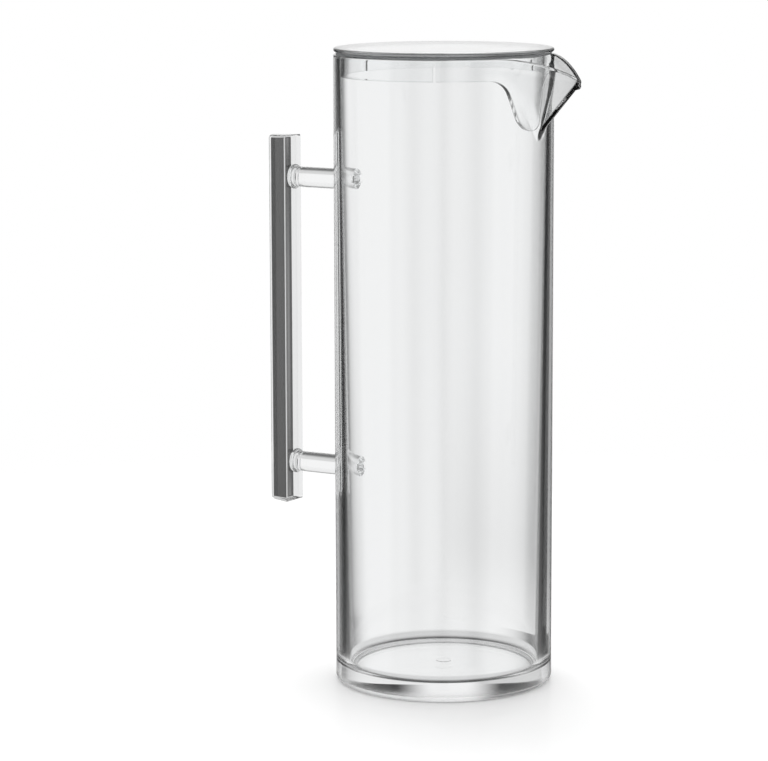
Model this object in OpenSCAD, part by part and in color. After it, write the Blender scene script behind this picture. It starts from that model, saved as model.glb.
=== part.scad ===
// Tall clear carafe with a beak spout, a lid whose tongue closes the spout, and a bar handle on two posts.
// Millimetres. Origin at the centre of the foot, +Z up, +X towards the spout, handle towards -X.

/* [Vessel] */
// Outer diameter of the straight vessel
body_d = 100; // [94:1:112]
// Height of the rim above the table
rim_h = 289; // [275:1:310]
// Wall thickness at the rim
wall_rim = 2.8; // [2.5:0.1:3.2]
// Wall thickness just above the floor
wall_foot = 4.6; // [4:0.1:5.2]
// Thickness of the floor
floor_t = 8; // [6.5:0.5:10]
// Fillet between floor and wall inside
floor_fillet = 4; // [3:0.5:6]
// Rounding of the outer bottom edge
foot_round = 3; // [2:0.5:4]
// Width of the ring that the vessel stands on, measured from its outer wall
foot_ring = 9; // [7:0.5:14]
// Height of the recess under the floor
recess_h = 0.8; // [0.4:0.1:1.2]

/* [Spout] */
// Distance of the spout's tip from the outer wall
spout_reach = 20; // [17:0.5:24]
// Drop of the spout's tip below the rim
spout_drop = 10.5; // [9:0.1:12]
// Depth of the keel's foot below the rim
spout_depth = 34; // [31:0.5:38]
// Outer radius of the nose and keel
nose_r = 3; // [2.6:0.1:3.4]
// Wall thickness of the nose and keel
nose_wall = 2.3; // [1.9:0.1:2.5]
// Radius of the drip bead under the tip
drip_r = 1.5; // [1.2:0.1:1.8]

/* [Lid] */
// Thickness of the lid's disc
lip_t = 1.9; // [1.5:0.1:2.6]
// Turn of the lid from the middle of the spout, in degrees
lid_set = -5; // [-12:1:12]
// Depth of the skirt below the top of the lid
skirt_depth = 12.8; // [11:0.1:15]
// Thickness of the skirt and the tongue
skirt_t = 1.7; // [1.4:0.1:2.2]
// Depth of the spout tongue below the top of the lid
tongue_depth = 35.8; // [33:0.1:38]
// Radius of the tongue's round end
tongue_r = 10.5; // [9:0.1:12]
// Half width of the tongue where it leaves the skirt
tongue_half = 23; // [21.5:0.5:25]
// Width of the slits that let the skirt flex
slit_w = 1.4; // [1:0.1:2]
// Distance of the slits' upper end below the top of the lid
slit_top = 5.5; // [4:0.1:7]

/* [Lid seal] */
// Thickness of the seal between lid and rim
seal_t = 1.1; // [0.9:0.1:1.6]
// Distance of the seal's outer edge from the outer wall
seal_inset = 1.2; // [1:0.1:1.4]

/* [Handle] */
// Length of the bar
bar_len = 173.2; // [158:0.2:186]
// Height of the bar's lower end above the table
bar_z = 75.6; // [68:0.2:84]
// Width of the bar's flat face, which is turned to the vessel
bar_w = 14; // [12.6:0.2:15.6]
// Depth of the bar from its flat face to its outer edge
bar_depth = 12.4; // [11.8:0.1:14.4]
// Radius of the bar's outer edge
bar_nose = 4.8; // [4.2:0.1:5.4]
// Rounding of the edges of the flat face
bar_corner = 0.7; // [0.4:0.1:1]
// Rounding of the bar's ends
bar_round = 1.5; // [1:0.5:3]
// Finger gap between the vessel and the bar
finger_gap = 31.2; // [28:0.2:36]
// Distance of each post from the bar's end
post_inset = 19.2; // [16:0.2:24]
// Diameter of the posts
post_d = 9.5; // [9:0.1:10.2]
// Diameter of the collar at the bar
collar_d = 11.4; // [11:0.2:12]
// Thickness of the collar
collar_t = 2; // [1.6:0.2:3]
// Diameter of the spigot that enters the bar
spigot_d = 6; // [5:0.2:6.4]
// Length of the spigot
spigot_len = 7; // [5:0.5:9]
// Width of the key on the wall that stops each post from turning
key_w = 3; // [2.4:0.2:3.6]
// Length of the key across the post
key_len = 6; // [5:0.5:7]
// Height of the key above the wall
key_h = 1.2; // [0.8:0.1:1.6]

/* [Fits] */
// Radial clearance of the lid's skirt in the mouth
lid_clear = 0.5; // [0.4:0.05:0.7]
// Radial clearance of the seal around the skirt
seal_clear = 0.15; // [0.1:0.05:0.25]
// Radial clearance of a spigot in its hole
pin_clear = 0.05; // [0.03:0.01:0.1]
// Clearance of a post's slot around its key
key_clear = 0.1; // [0.05:0.05:0.2]
// Clearance of a piece shaped to the round wall
wall_clear = 0.03; // [0.02:0.01:0.06]

/* [Hidden] */
$fn = 96;
over = 10;

body_r = body_d / 2;
mouth_r = body_r - wall_rim;
floor_r = body_r - wall_foot;

tip_x = body_r + spout_reach;
nose_x = tip_x - nose_r;
nose_z = rim_h - spout_drop + 0.2 * nose_r;
keel_x = body_r - 1.27 * nose_r;
keel_z = rim_h - spout_depth;
keel_turn = atan2(nose_z - keel_z, nose_x - keel_x);
beak_inset = 1;
rim_x = body_r * body_r / tip_x;
rim_y = sqrt(body_r * body_r - rim_x * rim_x);
fall_x = 0.86 * body_r;
arc_in = 3;
arc_drop = (pow(tip_x - fall_x + arc_in, 2) + pow(spout_drop, 2) - pow(arc_in, 2)) / (2 * spout_drop);

lid_top = rim_h + seal_t + lip_t;
skirt_r = mouth_r - lid_clear;
skirt_z = lid_top - skirt_depth;
tongue_z = lid_top - tongue_depth + tongue_r;
fillet_r = tongue_half * 0.43;
slit_angles = [60, 180, 300];

bar_x = body_r + finger_gap;
upper_z = bar_z + bar_len - post_inset;
lower_z = bar_z + post_inset;

clear_acrylic = [0.88, 0.90, 0.91, 0.35];
seal_grey = [0.72, 0.73, 0.74, 0.8];

// Radius of the tapering inside at a height
function inside_r(z) = floor_r + (mouth_r - floor_r) * (z - floor_t) / (rim_h - floor_t);

// Angles from -a to a in even steps
function arc_steps(a) = [for (i = [0 : 16]) a * (i / 8 - 1)];

// Slope of the tongue's straight sides, which touch its round end and the fillets under the skirt
function tongue_gap() = [tongue_half, skirt_z - fillet_r - tongue_z];
function tongue_turn() =
    atan2(tongue_gap()[1], tongue_gap()[0]) - acos((tongue_r + fillet_r) / norm(tongue_gap()));

// Edge of the tongue on one side, from the middle of its round end up to the skirt
function tongue_edge(side) = concat(
    [for (i = [0 : 16]) let (a = -90 + (90 + tongue_turn()) * i / 16)
        [side * tongue_r * cos(a), tongue_z + tongue_r * sin(a)]],
    [for (i = [0 : 16]) let (a = 180 + tongue_turn() - (90 + tongue_turn()) * i / 16)
        [side * (tongue_half + fillet_r * cos(a)), skirt_z - fillet_r + fillet_r * sin(a)]]);

// The same edge run downwards, without its lowest point
function downwards(edge) = [for (i = [len(edge) - 1 : -1 : 1]) edge[i]];

// Direction of the bar's flanks, which touch the round outer edge and the rounded corners
function flank_turn() = let (reach = [bar_depth - bar_nose - bar_corner, bar_w / 2 - bar_corner])
    acos((bar_corner - bar_nose) / norm(reach)) - atan2(reach[1], reach[0]);

// Half of the bar's section on one side, from the flat face round to the middle of the outer edge
function bar_edge(side) = concat(
    [for (i = [0 : 6]) let (a = 180 - (180 - flank_turn()) * i / 6)
        [bar_corner * (1 + cos(a)), side * (bar_w / 2 - bar_corner + bar_corner * sin(a))]],
    [for (i = [0 : 16]) let (a = flank_turn() * (1 - i / 16))
        [bar_depth - bar_nose + bar_nose * cos(a), side * bar_nose * sin(a)]]);

// Places a shape drawn along +Z so that it runs along -X from the vessel's axis at height z
module outward(z, x) {
    translate([-x, 0, z]) rotate([0, -90, 0]) children();
}

// Section in the YZ plane carried along +X
module along_x(length) {
    rotate([90, 0, 90]) linear_extrude(height = length) children();
}

// Rectangle from x = 0 with its two far corners rounded
module half_tile(w, h, r) {
    square([w - r, h]);
    translate([0, r]) square([w, h - 2 * r]);
    for (y = [r, h - r]) translate([w - r, y]) circle(r = r);
}

module outer_body() {
    rotate_extrude() {
        translate([0, foot_round]) square([body_r, rim_h + over / 2 - foot_round]);
        square([body_r - foot_round, foot_round + 1]);
        translate([body_r - foot_round, foot_round]) circle(r = foot_round);
    }
}

module inside() {
    r = inside_r(floor_t + floor_fillet);
    rotate_extrude() {
        polygon([[0, floor_t], [r - floor_fillet, floor_t], [r, floor_t + floor_fillet],
                 [inside_r(rim_h + over), rim_h + over], [0, rim_h + over]]);
        translate([r - floor_fillet, floor_t + floor_fillet]) circle(r = floor_fillet);
    }
}

// Plan of the beak: two lines that leave the round wall and close on the round nose
module beak_plan(edge_r, round_r) {
    wall_r = edge_r - beak_inset;
    turn = acos((wall_r - round_r) / nose_x);
    wall = wall_r * [cos(turn), sin(turn)];
    polygon(concat([for (a = arc_steps(turn)) [nose_x, 0] + round_r * [cos(a), sin(a)]],
                   [wall, [over, wall[1]], [over, -wall[1]], [wall[0], -wall[1]]]));
}

// Section of the beak across its keel: a V that opens towards the vessel, with a round bottom
module keel_section(edge_r, round_r) {
    edge = edge_r / body_r * [rim_x, rim_y];
    depth = (nose_x - edge[0]) * sin(keel_turn) + (rim_h - nose_z) * cos(keel_turn);
    half = acos(round_r / norm([edge[1], depth])) - atan2(depth, edge[1]);
    end = round_r * [sin(half), cos(half)] + (depth + 1) / cos(half) * [-cos(half), sin(half)];
    polygon(concat([for (a = arc_steps(90 - half)) round_r * [cos(a), sin(a)]], [end, [end[0], -end[1]]]));
}

// Beak whose flat sides meet in the sloping keel
module beak(edge_r, round_r) {
    intersection() {
        translate([0, 0, keel_z - 2 * over])
            linear_extrude(height = rim_h - keel_z + 3 * over) beak_plan(edge_r, round_r);
        translate([keel_x, 0, keel_z]) rotate([0, 90 - keel_turn, 0]) translate([0, 0, -0.8 * over])
            linear_extrude(height = spout_depth + 4 * over) keel_section(edge_r, round_r);
    }
}

// Everything above the rim, which falls in an arc towards the tip
module above_rim() {
    reach = tip_x + over;
    translate([-reach, -reach, rim_h]) cube([2 * reach, 2 * reach, 4 * over]);
    rotate([90, 0, 0]) linear_extrude(height = 2 * reach, center = true) difference() {
        translate([fall_x - arc_in, rim_h - 2 * spout_drop]) square([reach, 2 * spout_drop + over]);
        translate([fall_x - arc_in, rim_h - arc_drop]) circle(r = norm([arc_in, arc_drop]), $fn = 256);
    }
}

// Bead under the tip that makes the last drop fall
module drip_bead() {
    translate([tip_x - 1.07 * drip_r, 0, nose_z - 0.88 * nose_r]) sphere(r = drip_r);
}

// Key on the wall behind a post, grown by a clearance for the slot in the post
module key(z, grow) {
    across = grow > 0 ? 2 * post_d : key_len;
    translate([-body_r - key_h - grow, -across / 2, z - key_w / 2 - grow])
        cube([key_h + grow + 1, across, key_w + 2 * grow]);
}

module vessel() {
    color(clear_acrylic) difference() {
        union() {
            outer_body();
            beak(body_r, nose_r);
            drip_bead();
            for (z = [lower_z, upper_z]) key(z, 0);
        }
        inside();
        beak(mouth_r, nose_r - nose_wall);
        above_rim();
        translate([0, 0, -1]) cylinder(r = body_r - foot_ring, h = recess_h + 1);
    }
}

// Everything below the skirt in the YZ plane, with the tongue left standing
module below_skirt() {
    reach = body_r + over;
    low = lid_top - tongue_depth - over;
    polygon(concat(tongue_edge(1), [[reach, skirt_z], [reach, low], [-reach, low], [-reach, skirt_z]],
                   downwards(tongue_edge(-1))));
}

module lid() {
    reach = body_r + over;
    color(clear_acrylic) rotate([0, 0, lid_set]) difference() {
        rotate_extrude() {
            translate([0, lid_top - lip_t]) square([body_r - lip_t / 2, lip_t]);
            translate([body_r - lip_t / 2, lid_top - lip_t / 2]) circle(r = lip_t / 2);
            translate([skirt_r - skirt_t, lid_top - tongue_depth - 1])
                square([skirt_t, tongue_depth - lip_t / 2 + 1]);
        }
        along_x(reach) below_skirt();
        translate([-reach, -reach, skirt_z - tongue_depth]) cube([reach + over / 2, 2 * reach, tongue_depth]);
        for (a = slit_angles) rotate([0, 0, a])
            translate([skirt_r - 2 * skirt_t, -slit_w / 2, skirt_z - 1])
                cube([3 * skirt_t, slit_w, skirt_depth - slit_top + 1]);
    }
}

module lid_seal() {
    color(seal_grey) rotate_extrude()
        translate([skirt_r + seal_clear, rim_h])
            square([body_r - seal_inset - skirt_r - seal_clear, seal_t]);
}

// Section of the bar, drawn from its flat face
module bar_section() {
    polygon(concat(bar_edge(1), [for (i = [len(bar_edge(-1)) - 2 : -1 : 0]) bar_edge(-1)[i]]));
}

module handle_bar() {
    color(clear_acrylic) difference() {
        intersection() {
            translate([-bar_x, 0, bar_z - over]) mirror([1, 0, 0])
                linear_extrude(height = bar_len + 2 * over) bar_section();
            translate([0, 0, bar_z]) rotate([90, 0, 0]) mirror([1, 0, 0])
                linear_extrude(height = 2 * bar_w, center = true)
                    half_tile(bar_x + bar_depth + bar_round / 4, bar_len, bar_round);
        }
        for (z = [lower_z, upper_z])
            outward(z, bar_x - 1) cylinder(d = spigot_d + 2 * pin_clear, h = spigot_len + 1.4);
    }
}

module post(z) {
    color(clear_acrylic) difference() {
        union() {
            outward(z, body_r - 2) cylinder(d = post_d, h = finger_gap + 2);
            outward(z, bar_x - collar_t) rotate_extrude() half_tile(collar_d / 2, collar_t, collar_t * 0.4);
            outward(z, bar_x - 1) cylinder(d = spigot_d, h = spigot_len + 1);
        }
        translate([0, 0, z - post_d]) cylinder(r = body_r + wall_clear, h = 2 * post_d, $fn = 256);
        key(z, key_clear);
    }
}

module upper_post() {
    post(upper_z);
}

module lower_post() {
    post(lower_z);
}

vessel();
lid();
lid_seal();
handle_bar();
upper_post();
lower_post();
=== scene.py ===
"""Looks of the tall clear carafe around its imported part.

Shapes are worked out in millimetres and stored in metres, in the part's own frame:
the foot stands on z = 0, the spout points to +X and the handle to -X.
"""

import math

import bpy
import numpy as np
from mathutils import Matrix, Vector


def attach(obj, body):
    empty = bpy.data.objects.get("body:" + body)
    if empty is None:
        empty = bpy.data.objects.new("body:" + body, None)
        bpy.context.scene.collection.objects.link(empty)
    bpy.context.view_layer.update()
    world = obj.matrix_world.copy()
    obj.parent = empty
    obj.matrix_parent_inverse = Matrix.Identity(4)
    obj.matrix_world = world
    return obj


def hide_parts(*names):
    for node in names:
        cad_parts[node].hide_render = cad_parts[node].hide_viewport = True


MM = 0.001

# Vessel
BODY_R = 50.0
MOUTH_R = 47.2
FLOOR_R = 43.9
RIM_H = 289.0
RIM_ROUND = 0.6
FLOOR_T = 8.0
FLOOR_FILLET = 2.5
FLOOR_RISE = 5.0
GATE_R = 3.4
GATE_H = 0.1
FOOT_ROUND = 3.0
RECESS_R = 41.0
RECESS_H = 0.8
RECESS_EDGE = 0.35
FOOT_HUB = 6.0
FLOOR_HUB = 8.0
GATE_EDGE = 1.2
GATE_HUB = 1.2

# Beak spout
TIP_X = 70.0
SPOUT_DROP = 10.5
NOSE_R = 3.0
NOSE_WALL = 2.3
NOSE_X = TIP_X - NOSE_R
NOSE_Z = RIM_H - SPOUT_DROP + 0.2 * NOSE_R
KEEL_X = BODY_R - 1.27 * NOSE_R
KEEL_Z = 255.0
KEEL_TURN = math.atan2(NOSE_Z - KEEL_Z, NOSE_X - KEEL_X)
BEAK_INSET = 1.0
BEAK_BACK = 10.0
BEAK_LOW = 244.0
BEAK_CLEAR = 3.0
RIM_X = BODY_R**2 / TIP_X
RIM_Y = math.sqrt(BODY_R**2 - RIM_X**2)
FALL_X = 0.86 * BODY_R
ARC_IN = 3.0
ARC_DROP = ((TIP_X - FALL_X + ARC_IN) ** 2 + SPOUT_DROP**2 - ARC_IN**2) / (2 * SPOUT_DROP)
DRIP_R = 1.5
DRIP_X = TIP_X - 1.07 * DRIP_R
DRIP_Z = NOSE_Z - 0.88 * NOSE_R
DRIP_BLEND = 0.7
WALL_BLEND = 2.3
KEEL_BLEND = 0.8
RIM_BLEND = 0.3

# Lid and its seal
LID_SET = -5.0
LIP_T = 1.9
SEAL_T = 1.1
SEAL_OUT = 48.8
SEAL_ROUND = 0.35
SEAL_GAP = 0.03
SEAL_FIT = 0.15
LID_TOP = RIM_H + SEAL_T + LIP_T
SKIRT_R = 46.7
SKIRT_T = 1.7
SKIRT_Z = LID_TOP - 12.8
SKIRT_EDGE = 0.35
LID_FILLET = 0.4
LID_HUB = 8.0
TONGUE_R = 10.5
TONGUE_Z = LID_TOP - 35.8 + TONGUE_R
TONGUE_HALF = 23.0
TONGUE_FILLET = 0.43 * TONGUE_HALF
SLIT_W = 1.4
SLIT_TOP = LID_TOP - 5.5
SLIT_TURNS = (60, 180, 300)

# Handle
BAR_X = 81.2
BAR_DEPTH = 12.4
BAR_HALF = 7.0
BAR_NOSE = 4.8
BAR_CORNER = 0.4
CORNER_SHRINK = 0.3
BAR_LOW = 75.6
BAR_HIGH = 248.8
BAR_ROUND = 1.5
POST_Z = {"upper_post": 229.6, "lower_post": 94.8}
POST_R = 4.75
POST_GAP = 0.05
POST_HUB = 0.8
COLLAR_R = 5.7
COLLAR_T = 2.0
COLLAR_ROUND = 0.8
COLLAR_FILLET = 0.4
COLLAR_RUN = 8.0
KEY_W = 3.0
KEY_LEN = 6.0
KEY_H = 1.2
KEY_CLEAR = 0.1

# Columns round the axis, crowded in places: weight, middle in degrees to both sides, half width, power
VESSEL_COLUMNS = 336
VESSEL_CROWDS = [(14, 0, 2.2, 2), (2.2, 0, 32, 6)]
LID_COLUMNS = 560
LID_CROWDS = [(3, 0, 31, 8), (9, 14, 5, 4)]
SEAL_COLUMNS = 240
POST_COLUMNS = 72
WALL_ROWS = 64
EDGE_ROWS = 7
FINE_STEPS = 40001
HALVINGS = 44
SHARP_EDGE = 38

# Camera, from a fit to the outline
IMAGE_W = 768
FOCAL_PX = 3282.5
CAMERA_BACK = 1487.5
CAMERA_UP = 378.7
VIEW_TURN = 30.0
VIEW_YAW = -1.054
VIEW_PITCH = 9.135
VIEW_ROLL = -0.162

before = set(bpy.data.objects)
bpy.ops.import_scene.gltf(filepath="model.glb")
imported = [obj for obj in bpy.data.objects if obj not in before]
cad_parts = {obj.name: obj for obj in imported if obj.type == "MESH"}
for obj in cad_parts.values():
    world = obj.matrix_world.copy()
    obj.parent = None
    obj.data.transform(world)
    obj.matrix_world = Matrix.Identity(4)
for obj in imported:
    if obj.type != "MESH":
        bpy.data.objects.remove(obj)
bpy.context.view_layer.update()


# Shapes


def arc(centre, radius, start, end, steps):
    """Points on a circle: the centre plus the radius times cosine and sine of even angles in degrees."""
    turn = np.radians(np.linspace(start, end, steps))
    return np.stack([centre[0] + radius * np.cos(turn), centre[1] + radius * np.sin(turn)], 1)


def line(start, end, steps):
    """Even points on a straight line, both ends included."""
    return np.linspace(np.asarray(start, float), np.asarray(end, float), steps)


def columns(count, crowds=()):
    """Angles round the axis, closer in each crowd: the inverse of a weight's running sum, where the weight is
    one plus, for each crowd, a bell about its middle."""
    turn = np.linspace(0.0, 2 * math.pi, FINE_STEPS)
    middle = (turn[1:] + turn[:-1]) / 2
    aside = np.abs(np.degrees((middle + math.pi) % (2 * math.pi) - math.pi))
    weight = np.ones_like(aside)
    for more, centre, half, power in crowds:
        weight = weight + more * np.exp(-(((aside - centre) / half) ** power))
    share = np.concatenate([[0.0], np.cumsum(weight)])
    return np.interp(np.arange(count) / count, share / share[-1], turn)


def soft_min(a, b, blend):
    """Smaller of two fields, rounded over a width where they meet: a quadratic bridge between them."""
    mix = np.clip(0.5 + 0.5 * (b - a) / blend, 0.0, 1.0)
    return a * mix + b * (1 - mix) - blend * mix * (1 - mix)


def soft_max(a, b, blend):
    """Larger of two fields, rounded over a width where they meet."""
    return -soft_min(-a, -b, blend)


def turned(radius, height, turn):
    """Grid round the Z axis: radius times cosine and sine of each column's angle, at each row's height."""
    radius, height = np.broadcast_arrays(radius, height)
    return np.stack([radius * np.cos(turn), radius * np.sin(turn), height], -1)


def placed(name, data):
    """New object of the data, in the scene at the origin."""
    item = bpy.data.objects.new(name, data)
    bpy.context.scene.collection.objects.link(item)
    return item


def closed_mesh(name, grid, poles=None):
    """Closed mesh of a grid whose columns run round: quads between rows, and either a fan of triangles from
    each of two poles to the first and last row, or, with no poles, quads from the last row to the first."""
    rows, cols = grid.shape[:2]
    ring = poles is None
    i = np.arange(rows if ring else rows - 1)[:, None]
    j = np.arange(cols)[None, :]
    beside = (j + 1) % cols
    above = (i + 1) % rows
    quads = [i * cols + j, i * cols + beside, above * cols + beside, above * cols + j]
    quads = np.stack(quads, -1).reshape(-1, 4)
    points = grid.reshape(-1, 3)
    fans = np.zeros((0, 3), int)
    if not ring:
        first, last = len(points), len(points) + 1
        points = np.vstack([points, np.asarray(poles, float)])
        near, far = j[0], beside[0]
        low = np.stack([np.full(cols, first), far, near], 1)
        end = (rows - 1) * cols
        high = np.stack([np.full(cols, last), end + near, end + far], 1)
        fans = np.vstack([low, high])
    corners = np.vstack([quads[:, :3], quads[:, [0, 2, 3]], fans])
    a, b, c = points[corners[:, 0]], points[corners[:, 1]], points[corners[:, 2]]
    if np.einsum("ij,ij->", a, np.cross(b, c)) < 0:
        quads, fans = quads[:, ::-1], fans[:, ::-1]
    mesh = bpy.data.meshes.new(name)
    mesh.from_pydata((points * MM).tolist(), [], quads.tolist() + fans.tolist())
    return placed(name, mesh)


def block(low, high, name="tool"):
    """Box between two corners, mostly as a tool to cut or join with."""
    corner = np.array([[x, y, z] for z in (0, 1) for y in (0, 1) for x in (0, 1)], float)
    points = np.asarray(low) + corner * (np.asarray(high) - np.asarray(low))
    faces = [(0, 2, 3, 1), (4, 5, 7, 6), (0, 1, 5, 4), (2, 6, 7, 3), (0, 4, 6, 2), (1, 3, 7, 5)]
    mesh = bpy.data.meshes.new(name)
    mesh.from_pydata((points * MM).tolist(), [], faces)
    return placed(name, mesh)


def worked(piece, operation, *tools):
    """The piece with each tool cut out of it or joined to it, kept as its own mesh; the tools are removed."""
    for tool in tools:
        step = piece.modifiers.new("work", "BOOLEAN")
        step.operation = operation
        step.solver = "EXACT"
        step.object = tool
        bpy.context.view_layer.update()
        shaped = piece.evaluated_get(bpy.context.evaluated_depsgraph_get())
        old, piece.data = piece.data, bpy.data.meshes.new_from_object(shaped)
        piece.modifiers.clear()
        bpy.data.meshes.remove(old)
        bpy.data.objects.remove(tool)
    return piece


# Vessel


def inside_r(z):
    """Inner radius of the wall, which tapers evenly from the rim to the floor."""
    return FLOOR_R + (MOUTH_R - FLOOR_R) * (z - FLOOR_T) / (RIM_H - FLOOR_T)


def wedge_gap(u, v, normal, round_r):
    """Gap to a wedge with a rounded edge: beyond its edge the distance to the edge, beside it the distance
    to the side plane, each less the rounding."""
    along = np.abs(v) * normal[0] - u * normal[1]
    beside = u * normal[0] + np.abs(v) * normal[1]
    return np.where(along < 0, np.hypot(u, v), beside) - round_r


def beak_gap(x, y, z, edge_r, round_r):
    """Gap to the beak: the larger of the gap to its plan, two lines that leave the round wall and close on
    the nose, and the gap to its keel, a V that is carried along the slope."""
    wall_r = edge_r - BEAK_INSET
    turn = math.acos((wall_r - round_r) / NOSE_X)
    plan = wedge_gap(x - NOSE_X, y, (math.cos(turn), math.sin(turn)), round_r)
    plan = np.maximum(plan, np.maximum(np.abs(y) - wall_r * math.sin(turn), BEAK_BACK - x))
    edge_x, edge_y = edge_r / BODY_R * RIM_X, edge_r / BODY_R * RIM_Y
    depth = (NOSE_X - edge_x) * math.sin(KEEL_TURN) + (RIM_H - NOSE_Z) * math.cos(KEEL_TURN)
    half = math.acos(round_r / math.hypot(edge_y, depth)) - math.atan2(depth, edge_y)
    u = (x - KEEL_X) * math.sin(KEEL_TURN) - (z - KEEL_Z) * math.cos(KEEL_TURN)
    keel = wedge_gap(u, y, (math.sin(half), math.cos(half)), round_r)
    return soft_max(plan, keel, KEEL_BLEND)


def wall_r(turn, z, inner):
    """Radius of the wall with its beak: along each ray from the axis, the point where the rounded union of
    the round wall, the beak and, outside, the round drip bead ends, found by halving."""
    round_r = NOSE_R - NOSE_WALL if inner else NOSE_R
    edge_r = MOUTH_R if inner else BODY_R
    plain = inside_r(z) if inner else np.full_like(z, BODY_R)
    low, high = plain - 1.0, np.full_like(z, TIP_X + 3.0)
    for _ in range(HALVINGS):
        r = (low + high) / 2
        x, y = r * np.cos(turn), r * np.sin(turn)
        beak = beak_gap(x, y, z, edge_r, round_r)
        if not inner:
            drip = np.sqrt((x - DRIP_X) ** 2 + y**2 + (z - DRIP_Z) ** 2) - DRIP_R
            beak = soft_min(beak, drip, DRIP_BLEND)
        solid = soft_min(beak, r - plain, WALL_BLEND) < 0
        low, high = np.where(solid, r, low), np.where(solid, high, r)
    return (low + high) / 2


def rim_z(x):
    """Height of the rim, level at first and then falling towards the tip on a circle."""
    past = np.maximum(x - FALL_X + ARC_IN, 0)
    circle = RIM_H - ARC_DROP + np.sqrt(ARC_IN**2 + ARC_DROP**2 - past**2)
    return soft_min(circle, np.full_like(x, RIM_H), RIM_BLEND)


def rim_edge(turn, inner):
    """Height at which each column of the wall meets the falling rim, found by halving."""
    low, high = np.full_like(turn, RIM_H - 2 * SPOUT_DROP), np.full_like(turn, RIM_H + 1)
    for _ in range(HALVINGS):
        z = (low + high) / 2
        below = z < rim_z(wall_r(turn, z, inner) * np.cos(turn))
        low, high = np.where(below, z, low), np.where(below, high, z)
    return (low + high) / 2


def make_vessel():
    """Vessel: one profile from the middle of the underside, round the foot, up the wall, over the rim, down
    the inside and back to the middle of the floor, carried round the axis; above the foot of the beak
    the radius is the wall's with its beak and each column ends at the falling rim."""
    turn = columns(VESSEL_COLUMNS, VESSEL_CROWDS)
    high = BEAK_LOW - BEAK_CLEAR
    foot = np.vstack(
        [
            line((FOOT_HUB, RECESS_H), (RECESS_R, RECESS_H), 4),
            arc((RECESS_R + RECESS_EDGE, RECESS_EDGE), RECESS_EDGE, 180, 270, 5),
            line((RECESS_R + 1, 0), (BODY_R - FOOT_ROUND - 1, 0), 3),
            arc((BODY_R - FOOT_ROUND, FOOT_ROUND), FOOT_ROUND, -90, 0, 12),
            line((BODY_R, FOOT_ROUND + 6), (BODY_R, high), 12),
        ]
    )
    low = FLOOR_T + FLOOR_RISE
    r = inside_r(low)
    nub = np.linspace(1, 0, 7)
    gate_z = FLOOR_T + GATE_H * (0.5 + 0.5 * np.cos(math.pi * nub))
    gate = np.stack([GATE_R + GATE_EDGE * (nub - 0.5), gate_z], 1)
    inside = np.vstack(
        [
            line((inside_r(high), high), (inside_r(low + 4), low + 4), 12),
            arc((0, 0), 1.0, 0, -90, 13) * (FLOOR_FILLET, FLOOR_RISE) + (r - FLOOR_FILLET, low),
            line((r - FLOOR_FILLET - 3, FLOOR_T), (FLOOR_HUB, FLOOR_T), 5),
            gate,
            [(GATE_HUB, FLOOR_T + GATE_H)],
        ]
    )

    def wall(inner):
        """Rows of one side of the wall, from the foot of the beak to the rim: even steps, and then a quarter
        circle on the rounded edge."""
        top = rim_edge(turn, inner) - RIM_ROUND
        z = BEAK_LOW + (top - BEAK_LOW) * np.linspace(0, 1, WALL_ROWS)[:, None]
        bend = np.radians(np.linspace(90 / EDGE_ROWS, 90, EDGE_ROWS))[:, None]
        z = np.vstack([z, top + RIM_ROUND * np.sin(bend)])
        back = np.vstack([np.zeros((WALL_ROWS, 1)), RIM_ROUND * (1 - np.cos(bend))])
        return wall_r(np.broadcast_to(turn, z.shape), z, inner) + (back if inner else -back), z

    outer_r, outer_z = wall(False)
    inner_r, inner_z = wall(True)
    over = np.linspace(0, 1, 5)[1:-1, None]
    top_r = outer_r[-1] + (inner_r[-1] - outer_r[-1]) * over
    top_z = outer_z[-1] + (inner_z[-1] - outer_z[-1]) * over
    ones = np.ones(len(turn))
    radius = np.vstack([foot[:, :1] * ones, outer_r, top_r, inner_r[::-1], inside[:, :1] * ones])
    height = np.vstack([foot[:, 1:] * ones, outer_z, top_z, inner_z[::-1], inside[:, 1:] * ones])
    poles = [(0, 0, RECESS_H), (0, 0, FLOOR_T + GATE_H)]
    vessel = closed_mesh("carafe_vessel", turned(radius, height, turn), poles)
    keys = [
        block(
            (-BODY_R - KEY_H, -KEY_LEN / 2, z - KEY_W / 2),
            (-BODY_R + 1, KEY_LEN / 2, z + KEY_W / 2),
        )
        for z in POST_Z.values()
    ]
    return worked(vessel, "UNION", *keys)


# Lid and seal


def skirt_low(y):
    """Lower edge of the skirt over its distance from the middle: the tongue's round end, its straight side,
    the hollow fillet under the skirt, and then the level edge."""
    y = np.abs(y)
    rise = SKIRT_Z - TONGUE_FILLET - TONGUE_Z
    reach = math.hypot(TONGUE_HALF, rise)
    turn = math.atan2(rise, TONGUE_HALF) - math.acos((TONGUE_R + TONGUE_FILLET) / reach)
    low_y = TONGUE_R * math.cos(turn)
    high_y = TONGUE_HALF - TONGUE_FILLET * math.cos(turn)
    end = TONGUE_Z - np.sqrt(np.maximum(TONGUE_R**2 - y**2, 0))
    side = TONGUE_Z + TONGUE_R * math.sin(turn) + (y - low_y) / math.tan(-turn)
    hollow = SKIRT_Z - TONGUE_FILLET + np.sqrt(np.maximum(TONGUE_FILLET**2 - (y - TONGUE_HALF) ** 2, 0))
    return np.select([y < low_y, y < high_y, y < TONGUE_HALF], [end, side, hollow], SKIRT_Z)


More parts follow.
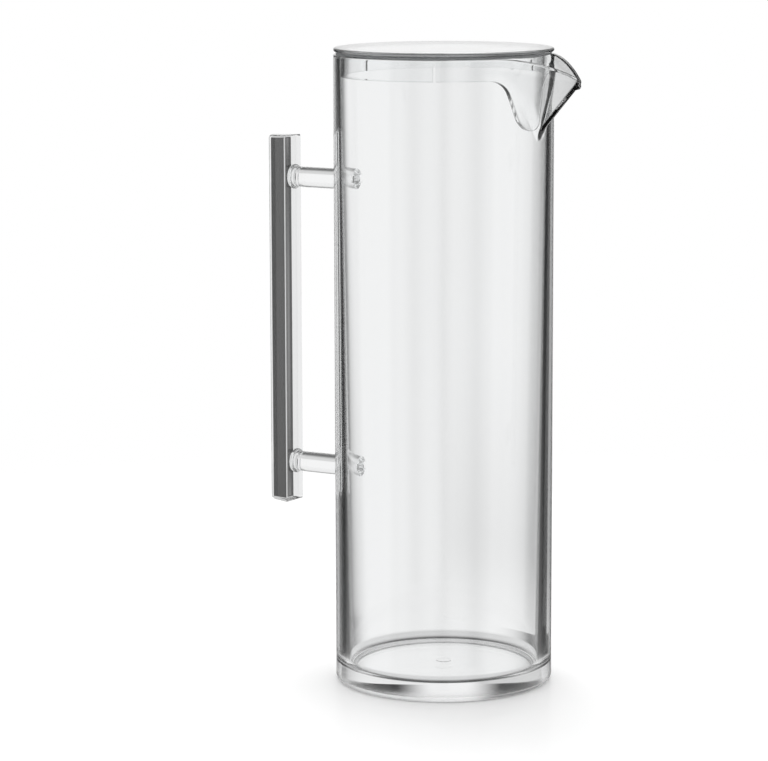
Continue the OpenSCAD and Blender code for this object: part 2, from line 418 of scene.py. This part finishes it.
def make_lid():
    """Lid: one profile from the middle of its top, round the lip, down the outside of the skirt, round its
    lower edge, up the inside and back to the middle, carried round the axis; the lower edge of each column
    follows the tongue. The slits are cut out, and the lid is set a little to one side of the spout."""
    turn = columns(LID_COLUMNS, LID_CROWDS)
    under = LID_TOP - LIP_T
    lip = LIP_T / 2
    inner = SKIRT_R - SKIRT_T
    upper = np.vstack(
        [
            line((LID_HUB, LID_TOP), (BODY_R - lip - 1, LID_TOP), 5),
            arc((BODY_R - lip, LID_TOP - lip), lip, 90, -90, 15),
            arc((SKIRT_R + LID_FILLET, under - LID_FILLET), LID_FILLET, 90, 180, 5),
        ]
    )
    lower = np.vstack(
        [
            arc((inner - LID_FILLET, under - LID_FILLET), LID_FILLET, 0, 90, 5),
            line((inner - 3, under), (LID_HUB, under), 5),
        ]
    )
    front = np.cos(turn) > 0
    out_low = np.where(front, skirt_low(SKIRT_R * np.sin(turn)), SKIRT_Z)
    in_low = np.where(front, skirt_low(inner * np.sin(turn)), SKIRT_Z)
    down = np.linspace(0, 1, 15)[1:, None]
    top = under - LID_FILLET
    out_z = top + (out_low + SKIRT_EDGE - top) * down
    in_z = (top + (in_low + SKIRT_EDGE - top) * down)[::-1]
    bend = np.radians(np.linspace(0, 90, 5))[1:, None]
    out_edge_z = out_low + SKIRT_EDGE * (1 - np.sin(bend))
    in_edge_z = (in_low + SKIRT_EDGE * (1 - np.sin(bend)))[::-1]
    shrink = SKIRT_EDGE * (1 - np.cos(bend))
    ones = np.ones(len(turn))
    radius = np.vstack(
        [
            upper[:, :1] * ones,
            np.full(out_z.shape, SKIRT_R),
            (SKIRT_R - shrink) * ones,
            (inner + shrink)[::-1] * ones,
            np.full(in_z.shape, inner),
            lower[:, :1] * ones,
        ]
    )
    height = np.vstack([upper[:, 1:] * ones, out_z, out_edge_z, in_edge_z, in_z, lower[:, 1:] * ones])
    lid = closed_mesh("carafe_lid", turned(radius, height, turn), [(0, 0, LID_TOP), (0, 0, under)])
    slits = []
    for angle in SLIT_TURNS:
        slit = block((inner - 1.5, -SLIT_W / 2, SKIRT_Z - 1), (SKIRT_R + 1.5, SLIT_W / 2, SLIT_TOP))
        slit.data.transform(Matrix.Rotation(math.radians(angle), 4, "Z"))
        slits.append(slit)
    lid = worked(lid, "DIFFERENCE", *slits)
    lid.data.transform(Matrix.Rotation(math.radians(LID_SET), 4, "Z"))
    return lid


def make_seal():
    """Seal: a rectangle with rounded corners between lid and rim, carried round the axis."""
    low, high = RIM_H + SEAL_GAP, RIM_H + SEAL_T - SEAL_GAP
    near, far = SKIRT_R + SEAL_FIT, SEAL_OUT
    corner = SEAL_ROUND
    ring = np.vstack(
        [
            arc((far - corner, high - corner), corner, 90, 0, 6),
            arc((far - corner, low + corner), corner, 0, -90, 6),
            arc((near + corner, low + corner), corner, 270, 180, 6),
            arc((near + corner, high - corner), corner, 180, 90, 6),
        ]
    )
    turn = columns(SEAL_COLUMNS)
    ones = np.ones(len(turn))
    return closed_mesh("carafe_lid_seal", turned(ring[:, :1] * ones, ring[:, 1:] * ones, turn))


# Handle


def make_bar():
    """Bar: a section carried upwards. The section runs from the flat face round two small corners, along the
    straight flanks that touch them, and round the outer edge; towards each end the radii of the corners and
    of the outer edge shrink on a quarter circle."""
    bend = np.radians(np.linspace(0, 90, 9))
    low_z = BAR_LOW + BAR_ROUND * (1 - np.cos(bend))
    high_z = (BAR_HIGH - BAR_ROUND * (1 - np.cos(bend)))[::-1]
    middle_z = np.linspace(low_z[-1], high_z[0], 14)[1:-1]
    inset = BAR_ROUND * (1 - np.sin(bend))
    z = np.concatenate([low_z, middle_z, high_z])[:, None]
    inset = np.concatenate([inset, np.zeros(len(middle_z)), inset[::-1]])[:, None]
    corner_r = BAR_CORNER - CORNER_SHRINK * inset
    nose_r = BAR_NOSE - inset
    corner_y = BAR_HALF - BAR_CORNER
    nose_x = BAR_DEPTH - BAR_NOSE
    reach = math.hypot(nose_x - BAR_CORNER, corner_y)
    flank = np.arccos((corner_r - nose_r) / reach) - math.atan2(corner_y, nose_x - BAR_CORNER)
    share = np.linspace(0, 1, 9)
    bend = math.pi + (flank - math.pi) * share
    corner = [BAR_CORNER + corner_r * np.cos(bend), corner_y + corner_r * np.sin(bend)]
    share = np.linspace(1, 0, 21)
    nose = [nose_x + nose_r * np.cos(flank * share), nose_r * np.sin(flank * share)]
    along = np.array([0.04, 0.5, 0.96])
    side = [near[:, -1:] + (far[:, :1] - near[:, -1:]) * along for near, far in zip(corner, nose)]
    depth, across = (np.hstack(parts) for parts in zip(corner, side, nose))
    flat = np.array([-0.97, -0.5, 0, 0.5, 0.97])
    depth = np.hstack([depth, depth[:, -2::-1], depth[:, :1] + 0 * flat])
    across = np.hstack([across, -across[:, -2::-1], across[:, :1] * flat])
    grid = np.stack([-BAR_X - depth, across, np.broadcast_to(z, depth.shape)], -1)
    middle = -BAR_X - BAR_DEPTH / 3
    return closed_mesh("carafe_handle_bar", grid, [(middle, 0, BAR_LOW), (middle, 0, BAR_HIGH)])


def make_post(node, z):
    """Post: a profile from the middle of its hollow end, along the shaft, round the collar and back to the
    middle at the bar, carried round the post's own axis; the hollow end follows the round wall. The slot is
    cut out. The spigot is cemented into the bar and can't be seen, so it is left to the solid."""
    turn = np.linspace(0, 2 * math.pi, POST_COLUMNS + 1)[:-1]
    face = BAR_X - POST_GAP
    collar = np.vstack(
        [
            line((BAR_X - COLLAR_RUN, POST_R), (face - COLLAR_T - 0.5, POST_R), 3),
            arc((face - COLLAR_T - COLLAR_FILLET, POST_R + COLLAR_FILLET), COLLAR_FILLET, -90, 0, 4)[1:-1],
            arc((face - COLLAR_T + COLLAR_ROUND, COLLAR_R - COLLAR_ROUND), COLLAR_ROUND, 180, 90, 7),
            arc((face - COLLAR_ROUND, COLLAR_R - COLLAR_ROUND), COLLAR_ROUND, 90, 0, 7),
            line((face, COLLAR_R - COLLAR_ROUND - 0.5), (face, 1.0), 4),
        ]
    )
    seat = np.linspace(POST_HUB, POST_R, 7)[:, None]
    hollow = np.sqrt((BODY_R + POST_GAP) ** 2 - (seat * np.cos(turn)) ** 2)
    shaft = hollow[-1] + (collar[0, 0] - hollow[-1]) * np.linspace(0, 1, 9)[1:-1, None]
    ones = np.ones(len(turn))
    reach = np.vstack([hollow, shaft, collar[:, :1] * ones])
    radius = np.vstack([seat * ones, np.full(shaft.shape, POST_R), collar[:, 1:] * ones])
    grid = np.stack([-reach, radius * np.cos(turn), z + radius * np.sin(turn)], -1)
    poles = [(-BODY_R - POST_GAP, 0, z), (-face, 0, z)]
    post = closed_mesh(f"carafe_{node}", grid, poles)
    tall = KEY_W / 2 + KEY_CLEAR
    deep = KEY_H + KEY_CLEAR
    slot = block((-BODY_R - deep, -2 * POST_R, z - tall), (-BODY_R + 3, 2 * POST_R, z + tall))
    return worked(post, "DIFFERENCE", slot)


# Materials


class Value:
    """A socket whose sums, differences and products add Math nodes to its tree."""

    def __init__(self, tree, socket):
        self.tree = tree
        self.socket = socket

    def maths(self, operation, *others):
        """Any Math node, with this socket first and the others after it."""
        return self.tree.add("ShaderNodeMath", {"operation": operation}, self, *others)

    def __add__(self, other):
        return self.maths("ADD", other)

    def __sub__(self, other):
        return self.maths("SUBTRACT", other)

    def __rsub__(self, other):
        return self.tree.add("ShaderNodeMath", {"operation": "SUBTRACT"}, other, self)

    def __mul__(self, other):
        return self.maths("MULTIPLY", other)

    __radd__ = __add__
    __rmul__ = __mul__


class Tree:
    """The node tree of a material or world, emptied, with one way to add any node to it."""

    def __init__(self, owner):
        owner.use_nodes = True
        self.nodes = owner.node_tree.nodes
        self.links = owner.node_tree.links
        self.nodes.clear()

    def add(self, kind, settings=None, *values, out=0, **named):
        """Adds a node, makes its settings, then fills sockets by place or by name with numbers or links."""
        node = self.nodes.new(kind)
        for key, value in (settings or {}).items():
            setattr(node, key, value)
        places = [*enumerate(values), *((key.replace("_", " "), value) for key, value in named.items())]
        for place, value in places:
            if isinstance(value, Value):
                self.links.new(value.socket, node.inputs[place])
            else:
                node.inputs[place].default_value = value
        return Value(self, node.outputs[out]) if len(node.outputs) else node

    def step(self, value, low, high):
        """Smooth step from 0 at low to 1 at high."""
        kind = {"interpolation_type": "SMOOTHSTEP"}
        return self.add("ShaderNodeMapRange", kind, Value=value, From_Min=low, From_Max=high)

    def noise(self, place, scale, detail=2.0, stretch=None):
        """Noise on a place, with the place stretched first if asked."""
        if stretch:
            place = self.add("ShaderNodeMapping", {}, Vector=place, Scale=stretch)
        return self.add("ShaderNodeTexNoise", {}, Vector=place, Scale=scale, Detail=detail)

    def mix(self, share, first, second):
        """Colour between two, by a share from 0 to 1."""
        return self.add("ShaderNodeMix", {"data_type": "RGBA"}, out=2, Factor=share, A=first, B=second)

    def axes(self, place):
        """The parts of a place along X, Y and Z."""
        parts = self.add("ShaderNodeSeparateXYZ", {}, place).socket.node
        return [Value(self, part) for part in parts.outputs]


# Clear acrylic: colours, with painted shade for the lid's outer edge, scales of ripples and wear, roughness of
# each, depth of the ripples in metres
CLEAR_TINTS = [(0.971, 0.976, 0.978, 1), (0.977, 0.981, 0.982, 1)]
LID_EDGE_PAINTED_SHADE = (0.42, 0.43, 0.44, 1)
RIPPLE_SCALE = 26.0
RIPPLE_STRETCH = (1, 1, 0.35)
RIPPLE_BUMP = 0.012
RIPPLE_DEPTH = 0.0006
WEAR_SCALE = 320.0
POLISH_ROUGH = 0.004
WEAR_ROUGH = 0.016
SCUFF_ROUGH = 0.3
SCUFF_WIDTH = 2.0
SCUFF_LOW = 1.0

# Silicone
SEAL_TINTS = [(0.33, 0.34, 0.35, 1), (0.40, 0.41, 0.42, 1)]
MOTTLE_SCALE = 240.0
MOTTLE_BUMP = 0.1
MOTTLE_DEPTH = 0.0002
SKIN_ROUGH = 0.34
MOTTLE_ROUGH = 0.14


def acrylic():
    """Polished clear acrylic: faintly grey, with painted shade greying the lid's outer edge in place of the
    darker light seen through the disc, with soft ripples from moulding, a haze of fine wear and a ring of
    scuffs where the foot stands."""
    material = bpy.data.materials.new("clear_acrylic")
    tree = Tree(material)
    place = tree.add("ShaderNodeTexCoord", out="Object")
    ripple = tree.noise(place, RIPPLE_SCALE, 1.0, RIPPLE_STRETCH)
    wear = tree.noise(place, WEAR_SCALE, 4.0)
    tint = tree.mix(tree.step(ripple, 0.3, 0.7), *CLEAR_TINTS)
    height = tree.axes(place)[2]
    round_place = tree.add("ShaderNodeVectorMath", {"operation": "MULTIPLY"}, place, (1, 1, 0))
    reach = tree.add("ShaderNodeVectorMath", {"operation": "LENGTH"}, round_place, out="Value")
    # Painted shade: the lid's outer edge is greyed in place of the darker light seen through the disc
    rim = tree.step(height, (RIM_H + 0.2) * MM, (RIM_H + SEAL_T) * MM)
    edge = rim * tree.step(reach, (BODY_R - 1.0) * MM, (BODY_R - 0.3) * MM)
    tint = tree.mix(edge, tint, LID_EDGE_PAINTED_SHADE)
    foot = 1 - tree.step(height, SCUFF_LOW * MM, FLOOR_T * MM)
    scuffs = tree.step(reach, RECESS_R * MM, (RECESS_R + SCUFF_WIDTH) * MM) * foot
    rough = POLISH_ROUGH + WEAR_ROUGH * tree.step(wear, 0.45, 0.8) + SCUFF_ROUGH * scuffs
    bump = tree.add("ShaderNodeBump", {}, Strength=RIPPLE_BUMP, Distance=RIPPLE_DEPTH, Height=ripple)
    shader = tree.add(
        "ShaderNodeBsdfPrincipled",
        {},
        Base_Color=tint,
        Roughness=rough,
        IOR=1.49,
        Transmission_Weight=1.0,
        Normal=bump,
    )
    tree.add("ShaderNodeOutputMaterial", {}, Surface=shader)
    return material


def silicone():
    """Translucent grey silicone with a satin, finely mottled skin."""
    material = bpy.data.materials.new("soft_seal")
    tree = Tree(material)
    place = tree.add("ShaderNodeTexCoord", out="Object")
    mottle = tree.noise(place, MOTTLE_SCALE, 3.0)
    tint = tree.mix(mottle, *SEAL_TINTS)
    rough = SKIN_ROUGH + MOTTLE_ROUGH * mottle
    bump = tree.add("ShaderNodeBump", {}, Strength=MOTTLE_BUMP, Distance=MOTTLE_DEPTH, Height=mottle)
    shader = tree.add(
        "ShaderNodeBsdfPrincipled",
        {},
        Base_Color=tint,
        Roughness=rough,
        IOR=1.41,
        Transmission_Weight=0.45,
        Normal=bump,
    )
    tree.add("ShaderNodeOutputMaterial", {}, Surface=shader)
    return material


def finish_piece(piece, node, body, material):
    """Smooth faces with sharp edges kept, its material, and its place in the frame."""
    mesh = piece.data
    mesh.polygons.foreach_set("use_smooth", np.ones(len(mesh.polygons), bool))
    mesh.set_sharp_from_angle(angle=math.radians(SHARP_EDGE))
    mesh.materials.clear()
    mesh.materials.append(material)
    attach(piece, body)
    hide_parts(node)


clear_acrylic = acrylic()
soft_seal = silicone()
finish_piece(make_vessel(), "vessel", "carafe", clear_acrylic)
finish_piece(make_lid(), "lid", "lid", clear_acrylic)
finish_piece(make_seal(), "lid_seal", "seal_ring", soft_seal)
finish_piece(make_bar(), "handle_bar", "carafe", clear_acrylic)
for post_node, post_z in POST_Z.items():
    finish_piece(make_post(post_node, post_z), post_node, "carafe", clear_acrylic)


# Studio

# Bright panels round the object, in degrees: bearing to the right of the view, half width, softness,
# lowest and highest elevation, softness of the ends, level
PANELS = [
    (-2.5, 13.5, 8.0, -22, 60, 6, 0.93),
    (-28, 6.0, 5.0, -10.3, -6, 1.8, 0.18),
    (-88, 35.0, 5.0, -40, 50, 4, 0.9),
    (-148, 27.0, 10.0, -40, 50, 6, 0.5),
    (-15, 11.0, 6.0, -34, -16.5, 3, 0.72),
    (95, 42.0, 9.0, -40, 50, 6, 0.95),
    (165, 12.0, 9.0, -26, 40, 4, 0.75),
]
# Level of the gaps between the panels, of the ceiling low and high up, and of the table far off and close by,
# with the degrees above or below the horizon over which each comes in
GAP = 0.03
CEILING = 0.6
CEILING_RISE = (0, 12)
CEILING_HIGH = 0.25
CEILING_DIM = (20, 38)
TABLE_FAR = 0.68
TABLE_RISE = (15.6, 17.8)
TABLE_NEAR = 0.1
TABLE_DIM = (26, 44)
DIFFUSE_LEVEL = 0.9

# Floor: rings, top and underside in millimetres, fade in metres
FLOOR_RINGS = [60.0, 200.0, 500.0, 900.0]
FLOOR_COLUMNS = 96
FLOOR_TOP = -0.05
FLOOR_UNDER = -2.0
FLOOR_FADE = (0.16, 0.6)
FLOOR_PALE = (0.93, 0.93, 0.93, 1)
FLOOR_GLOSS = 0.07
FLOOR_LIFT = 0.15
GRAIN_SCALE = 90.0

# Card, a panel of painted light: corners, width of its soft edges, glow levels at its two sides (the darker
# one painted shade), half width of
# # the change between them, how much painted shade darkens it below a height, and how much of the dark side is
# lifted at its lower edge
CARD_LOW = (-80.0, 129.0, -8.0)
CARD_HIGH = (32.0, 130.0, 325.0)
CARD_SOFT = 6.0
CARD_FADE = 25.0
CARD_PAINTED_LEVELS = [(0.92, 0.92, 0.92, 1), (0.45, 0.45, 0.45, 1)]
CARD_CHANGE = 28.0
CARD_DIM = 0.24
CARD_DIM_TOP = 150.0
CARD_LIFT = 0.45

# Lamp, in metres and watts
LAMP_PLACE = (-0.5, 0.6, 1.8)
LAMP_AIM = (0, 0, 0.15)
LAMP_SIZE = 1.2
LAMP_POWER = 12


def studio_world():
    """White for the camera and an even level for lighting. Clear and glossy surfaces see bright upright
    panels with dark gaps between them, a ceiling that dims upwards and a table that dims towards the foot."""
    world = bpy.data.worlds.new("studio")
    bpy.context.scene.world = world
    tree = Tree(world)
    way = tree.add("ShaderNodeTexCoord", out="Generated")
    turn = math.radians(VIEW_TURN)
    forward = (-math.sin(turn), math.cos(turn), 0)
    right = (math.cos(turn), math.sin(turn), 0)
    dot = {"operation": "DOT_PRODUCT"}
    ahead = tree.add("ShaderNodeVectorMath", dot, way, forward, out="Value")
    aside = tree.add("ShaderNodeVectorMath", dot, way, right, out="Value")
    up = tree.add("ShaderNodeVectorMath", dot, way, (0, 0, 1), out="Value")
    degree = math.degrees(1)
    bearing = aside.maths("ARCTAN2", ahead) * degree
    elevation = up.maths("ARCSINE") * degree
    below = elevation * -1
    level = GAP + CEILING * tree.step(elevation, *CEILING_RISE)
    level = level - (CEILING - CEILING_HIGH) * tree.step(elevation, *CEILING_DIM)
    level = level + (TABLE_FAR - GAP) * tree.step(below, *TABLE_RISE)
    level = level - (TABLE_FAR - TABLE_NEAR) * tree.step(below, *TABLE_DIM)
    for centre, half, soft, low, high, end, bright in PANELS:
        gap = (bearing - centre).maths("WRAP", 180, -180).maths("ABSOLUTE")
        side = 1 - tree.step(gap, half - soft, half + soft)
        rise = tree.step(elevation, low - end, low + end)
        fall = 1 - tree.step(elevation, high - end, high + end)
        level = level.maths("MAXIMUM", bright * side * rise * fall)
    rays = tree.add("ShaderNodeLightPath").socket.node.outputs
    kinds = ("Camera", "Glossy", "Transmission")
    camera, glossy, through = (Value(tree, rays[f"Is {kind} Ray"]) for kind in kinds)
    sharp = glossy.maths("MAXIMUM", through)
    seen = sharp * level + (1 - sharp) * DIFFUSE_LEVEL
    strength = camera + (1 - camera) * seen
    shader = tree.add("ShaderNodeBackground", {}, Color=(1, 1, 1, 1), Strength=strength)
    tree.add("ShaderNodeOutputWorld", {}, Surface=shader)


def studio_floor():
    """Pale floor: a disc on rings of growing radius that fades to the white background, with a faint gloss."""
    turn = np.linspace(0, 2 * math.pi, FLOOR_COLUMNS + 1)[:-1]
    radius = np.array(FLOOR_RINGS)[:, None] * np.ones(FLOOR_COLUMNS)
    top = turned(radius, FLOOR_TOP, turn)
    bottom = turned(radius[::-1], FLOOR_UNDER, turn)
    floor = closed_mesh("floor", np.vstack([top, bottom]), [(0, 0, FLOOR_TOP), (0, 0, FLOOR_UNDER)])
    material = bpy.data.materials.new("pale_floor")
    tree = Tree(material)
    place = tree.add("ShaderNodeTexCoord", out="Object")
    reach = tree.add("ShaderNodeVectorMath", {"operation": "LENGTH"}, place, out="Value")
    fade = tree.step(reach, *FLOOR_FADE)
    grain = tree.noise(place, GRAIN_SCALE)
    matte = tree.add("ShaderNodeBsdfDiffuse", {}, Color=FLOOR_PALE)
    gloss = tree.add("ShaderNodeBsdfGlossy", {}, Color=(1, 1, 1, 1), Roughness=0.06 + 0.04 * grain)
    pale = tree.add("ShaderNodeMixShader", {}, FLOOR_GLOSS, matte, gloss)
    camera = tree.add("ShaderNodeLightPath", out="Is Camera Ray")
    lift = tree.add("ShaderNodeEmission", {}, Color=(1, 1, 1, 1), Strength=FLOOR_LIFT * camera)
    pale = tree.add("ShaderNodeAddShader", {}, pale, lift)
    clear = tree.add("ShaderNodeBsdfTransparent")
    shader = tree.add("ShaderNodeMixShader", {}, fade, pale, clear)
    tree.add("ShaderNodeOutputMaterial", {}, Surface=shader)
    floor.data.materials.append(material)
    floor.visible_transmission = False
    floor.visible_glossy = False


def studio_card():
    """Card behind the object that glows with painted light, seen only through its clear pieces: painted shade
    makes it darker to one side and lower down, lighter again at its lower edge, and it is soft at both sides
    and at the top."""
    card = block(CARD_LOW, CARD_HIGH, "card")
    material = bpy.data.materials.new("glowing_card")
    tree = Tree(material)
    place = tree.add("ShaderNodeTexCoord", out="Object")
    across, _, height = tree.axes(place)
    # Painted light and shade: the card glows, darker to one side and lower down, lighter again at its lower
    # edge
    side = tree.step(across, -CARD_CHANGE * MM, CARD_CHANGE * MM)
    low = CARD_DIM * (1 - tree.step(height, 0.0, CARD_DIM_TOP * MM))
    past = tree.step(height, CARD_LOW[2] * MM, (CARD_LOW[2] + 2 * CARD_FADE) * MM)
    shade = side * (1 - CARD_LIFT + CARD_LIFT * past) + low * past
    level = tree.mix(shade, *CARD_PAINTED_LEVELS)
    left = tree.step(across, CARD_LOW[0] * MM, (CARD_LOW[0] + CARD_FADE) * MM)
    right = 1 - tree.step(across, (CARD_HIGH[0] - CARD_SOFT) * MM, CARD_HIGH[0] * MM)
    top = 1 - tree.step(height, (CARD_HIGH[2] - CARD_FADE) * MM, CARD_HIGH[2] * MM)
    clear = tree.add("ShaderNodeBsdfTransparent")
    white = tree.add("ShaderNodeEmission", {}, Color=level, Strength=1.0)
    shader = tree.add("ShaderNodeMixShader", {}, left * right * top, clear, white)
    tree.add("ShaderNodeOutputMaterial", {}, Surface=shader)
    card.data.materials.append(material)
    card.visible_camera = False
    card.visible_diffuse = False
    card.visible_glossy = False
    card.visible_shadow = False
    card.visible_volume_scatter = False


def studio_lamp():
    """One wide soft lamp above and behind the object, which clear and glossy surfaces don't show."""
    lamp = bpy.data.lights.new("softbox", "AREA")
    lamp.shape = "DISK"
    lamp.size = LAMP_SIZE
    lamp.energy = LAMP_POWER
    holder = placed("softbox", lamp)
    holder.location = LAMP_PLACE
    aim = Vector(LAMP_AIM) - Vector(LAMP_PLACE)
    holder.visible_glossy = False
    holder.visible_transmission = False
    holder.rotation_mode = "QUATERNION"
    holder.rotation_quaternion = aim.to_track_quat("-Z", "Y")


def photo_camera():
    """Camera of the fitted view: position and axes of a view along +Y, turned about the upright axis."""
    yaw, pitch, roll = (math.radians(a) for a in (VIEW_YAW, VIEW_PITCH, VIEW_ROLL))
    ahead = Vector((math.sin(yaw) * math.cos(pitch), math.cos(yaw) * math.cos(pitch), -math.sin(pitch)))
    level = Vector((math.cos(yaw), -math.sin(yaw), 0))
    above = level.cross(ahead)
    right = math.cos(roll) * level + math.sin(roll) * above
    up = math.cos(roll) * above - math.sin(roll) * level
    pose = Matrix((right, up, -ahead)).transposed().to_4x4()
    pose.translation = Vector((0, -CAMERA_BACK, CAMERA_UP)) * MM
    data = bpy.data.cameras.new("photo_view")
    data.sensor_width = 36.0
    data.lens = FOCAL_PX / IMAGE_W * data.sensor_width
    data.clip_start, data.clip_end = 0.05, 50
    camera = placed("photo_view", data)
    camera.matrix_world = Matrix.Rotation(math.radians(VIEW_TURN), 4, "Z") @ pose
    bpy.context.scene.camera = camera


studio_world()
studio_floor()
studio_card()
studio_lamp()
photo_camera()
scene = bpy.context.scene
scene.view_settings.view_transform = "Standard"
scene.cycles.max_bounces = 24
scene.cycles.transmission_bounces = 24
scene.cycles.glossy_bounces = 16
scene.cycles.transparent_max_bounces = 24
